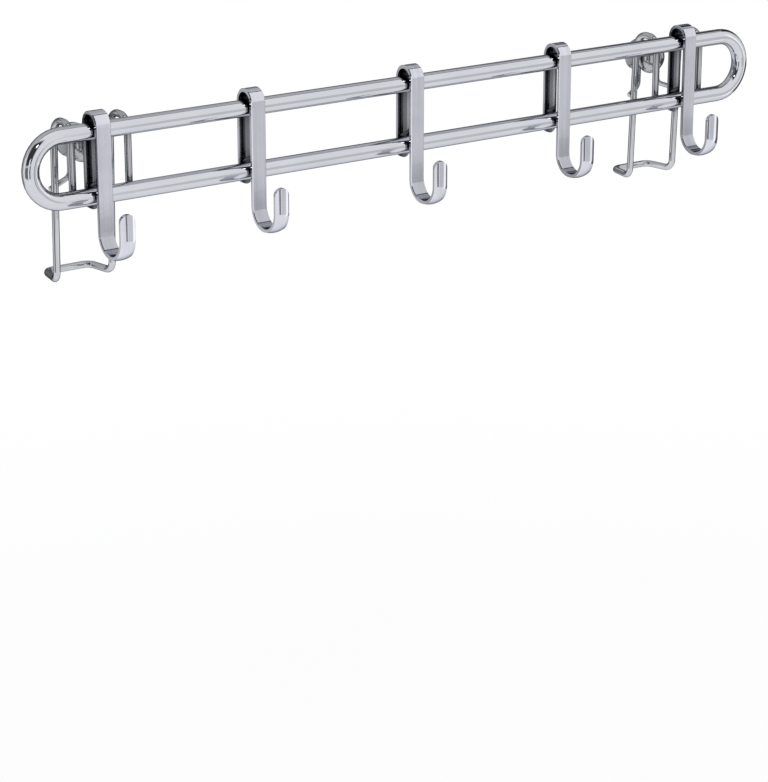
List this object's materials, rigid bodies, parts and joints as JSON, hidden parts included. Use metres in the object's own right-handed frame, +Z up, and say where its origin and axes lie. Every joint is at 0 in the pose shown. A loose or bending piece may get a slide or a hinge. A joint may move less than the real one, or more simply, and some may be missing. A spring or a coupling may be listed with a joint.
{
  "type": "kitchen utensil rail",
  "caption": "Wall-hung kitchen utensil rail of chromed steel: a closed double-rod loop on bent-wire brackets that hang on round wall knobs, with flat strip hooks that slide along the loop.",
  "frame": {"origin": "on the wall plane, midway between the two wall knobs' screw holes", "axes": "+X to the right along the rail, +Y into the wall along the screws, +Z up"},
  "size_m": [0.4248, 0.0683, 0.0847],
  "materials": {
    "rail_rod": "bright chrome plate on drawn steel rod",
    "bracket_wire": "bright chrome plate on bent steel wire",
    "wall_knob": "bright chrome plate on turned metal, with faint turning marks",
    "hook_strip": "chrome plate over a faintly lengthwise-brushed strip"
  },
  "bodies": {
    "rail": {"rail_loop": "rail_rod", "left_bracket": "bracket_wire", "right_bracket": "bracket_wire", "left_hanger": "bracket_wire", "right_hanger": "bracket_wire", "left_knob_base": "wall_knob", "right_knob_base": "wall_knob", "left_knob_cap": "wall_knob", "right_knob_cap": "wall_knob"},
    "hook_1": {"hook_1": "hook_strip"},
    "hook_2": {"hook_2": "hook_strip"},
    "hook_3": {"hook_3": "hook_strip"},
    "hook_4": {"hook_4": "hook_strip"},
    "hook_5": {"hook_5": "hook_strip"}
  },
  "joints": [
    {"name": "hook_1_slide", "type": "slide", "parent": "rail", "child": "hook_1", "axis": [1, 0, 0], "range_m": [-0.0043, 0.0126]},
    {"name": "hook_2_slide", "type": "slide", "parent": "rail", "child": "hook_2", "axis": [1, 0, 0], "range_m": [-0.0566, 0.0408]},
    {"name": "hook_3_slide", "type": "slide", "parent": "rail", "child": "hook_3", "axis": [1, 0, 0], "range_m": [-0.0408, 0.0408]},
    {"name": "hook_4_slide", "type": "slide", "parent": "rail", "child": "hook_4", "axis": [1, 0, 0], "range_m": [-0.0408, 0.063]},
    {"name": "hook_5_slide", "type": "slide", "parent": "rail", "child": "hook_5", "axis": [1, 0, 0], "range_m": [-0.0068, 0.0101]}
  ]
}
